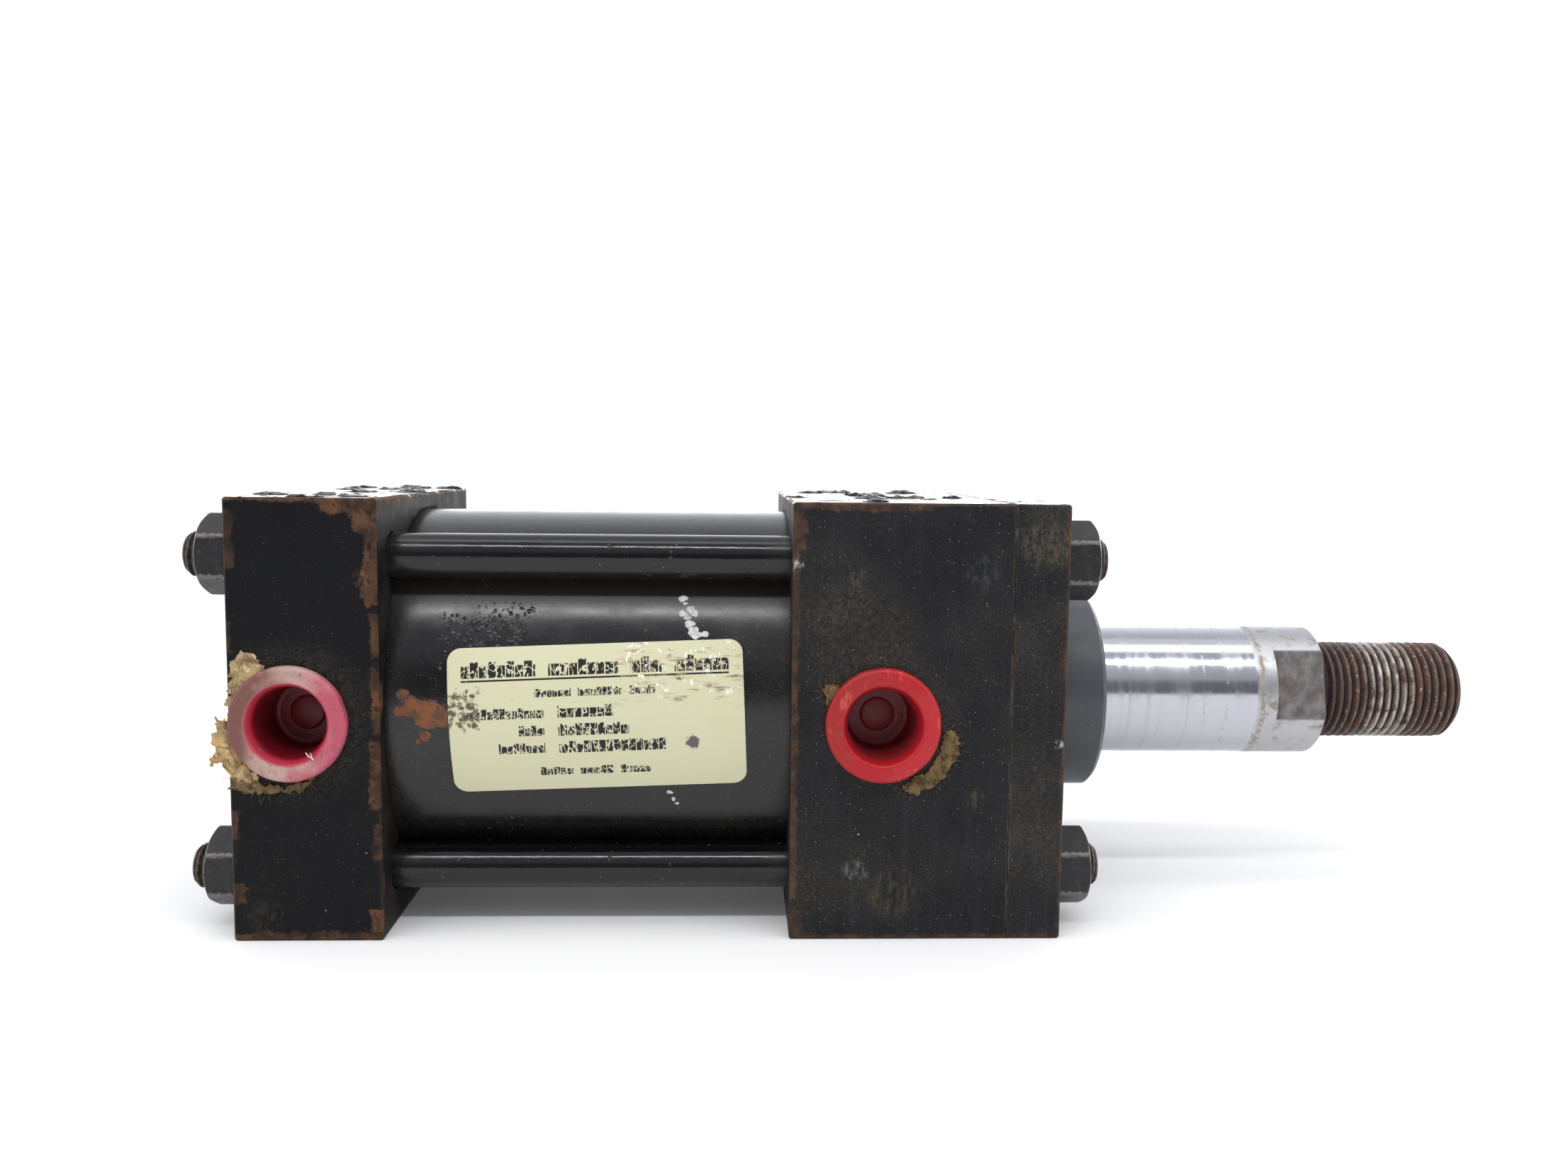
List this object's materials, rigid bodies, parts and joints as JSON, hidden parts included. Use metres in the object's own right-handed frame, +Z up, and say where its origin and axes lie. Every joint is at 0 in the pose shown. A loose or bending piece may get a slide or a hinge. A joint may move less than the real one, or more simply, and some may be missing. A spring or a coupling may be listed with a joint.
{
  "type": "pneumatic cylinder",
  "caption": "Square-head tie-rod pneumatic cylinder with a threaded rod end, side ports closed by plastic plugs, and a blank label.",
  "frame": {"origin": "where the rod axis meets the front face of the retainer plate, at the root of the pilot boss", "axes": "+X along the rod out of the cylinder, +Z up with the flat bases below, ports face -Y"},
  "size_m": [0.2389, 0.0784, 0.0762],
  "materials": {
    "block_paint": "worn semi-gloss black paint with rust at the edges",
    "tube_paint": "dusty semi-gloss black paint",
    "gasket": "matte",
    "gland_black": "satin black",
    "seal_rubber": "matte",
    "label_film": "satin cream film",
    "wear_band": "filled plastic strip",
    "piston_metal": "turned",
    "rod_chrome": "hard chrome with light scratches",
    "stud_steel": "rolled thread with surface rust",
    "plain_steel": "plain",
    "tie_rod_black": "glossy black paint",
    "nut_black": "dusty black paint",
    "plug_faded": "sun-faded red plastic",
    "plug_red": "satin red plastic"
  },
  "bodies": {
    "barrel": {"cap": "block_paint", "head": "block_paint", "retainer_plate": "block_paint", "tube": "tube_paint", "cap_tube_seal": "gasket", "head_tube_seal": "gasket", "rod_gland": "gland_black", "rod_seal": "seal_rubber", "rod_wiper": "seal_rubber", "gland_o_ring": "seal_rubber", "tie_rod_front_top": "tie_rod_black", "tie_rod_front_bottom": "tie_rod_black", "tie_rod_back_top": "tie_rod_black", "tie_rod_back_bottom": "tie_rod_black", "cap_nut_front_top": "nut_black", "cap_nut_front_bottom": "nut_black", "cap_nut_back_top": "nut_black", "cap_nut_back_bottom": "nut_black", "plate_nut_front_top": "nut_black", "plate_nut_front_bottom": "nut_black", "plate_nut_back_top": "nut_black", "plate_nut_back_bottom": "nut_black", "name_label": "label_film"},
    "piston_seals": {"piston_seal_rear": "seal_rubber", "piston_seal_front": "seal_rubber", "piston_wear_band": "wear_band"},
    "rod": {"piston": "piston_metal", "piston_rod": "rod_chrome", "rod_end_stud": "stud_steel", "piston_nut": "plain_steel", "piston_o_ring": "seal_rubber"},
    "cap_port_plug": {"cap_port_plug": "plug_faded"},
    "head_port_plug": {"head_port_plug": "plug_red"}
  },
  "joints": [
    {"name": "rod_slide", "type": "slide", "parent": "barrel", "child": "piston_seals", "axis": [1, 0, 0], "range_m": [-0.0325, 0.0056]},
    {"name": "rod_spin", "type": "hinge", "parent": "piston_seals", "child": "rod", "pos_m": [0, 0, 0], "axis": [1, 0, 0], "continuous": true},
    {"name": "cap_plug_pull", "type": "slide", "parent": "barrel", "child": "cap_port_plug", "axis": [0, -1, 0], "range_m": [0, 0.05]},
    {"name": "head_plug_pull", "type": "slide", "parent": "barrel", "child": "head_port_plug", "axis": [0, -1, 0], "range_m": [0, 0.05]}
  ]
}
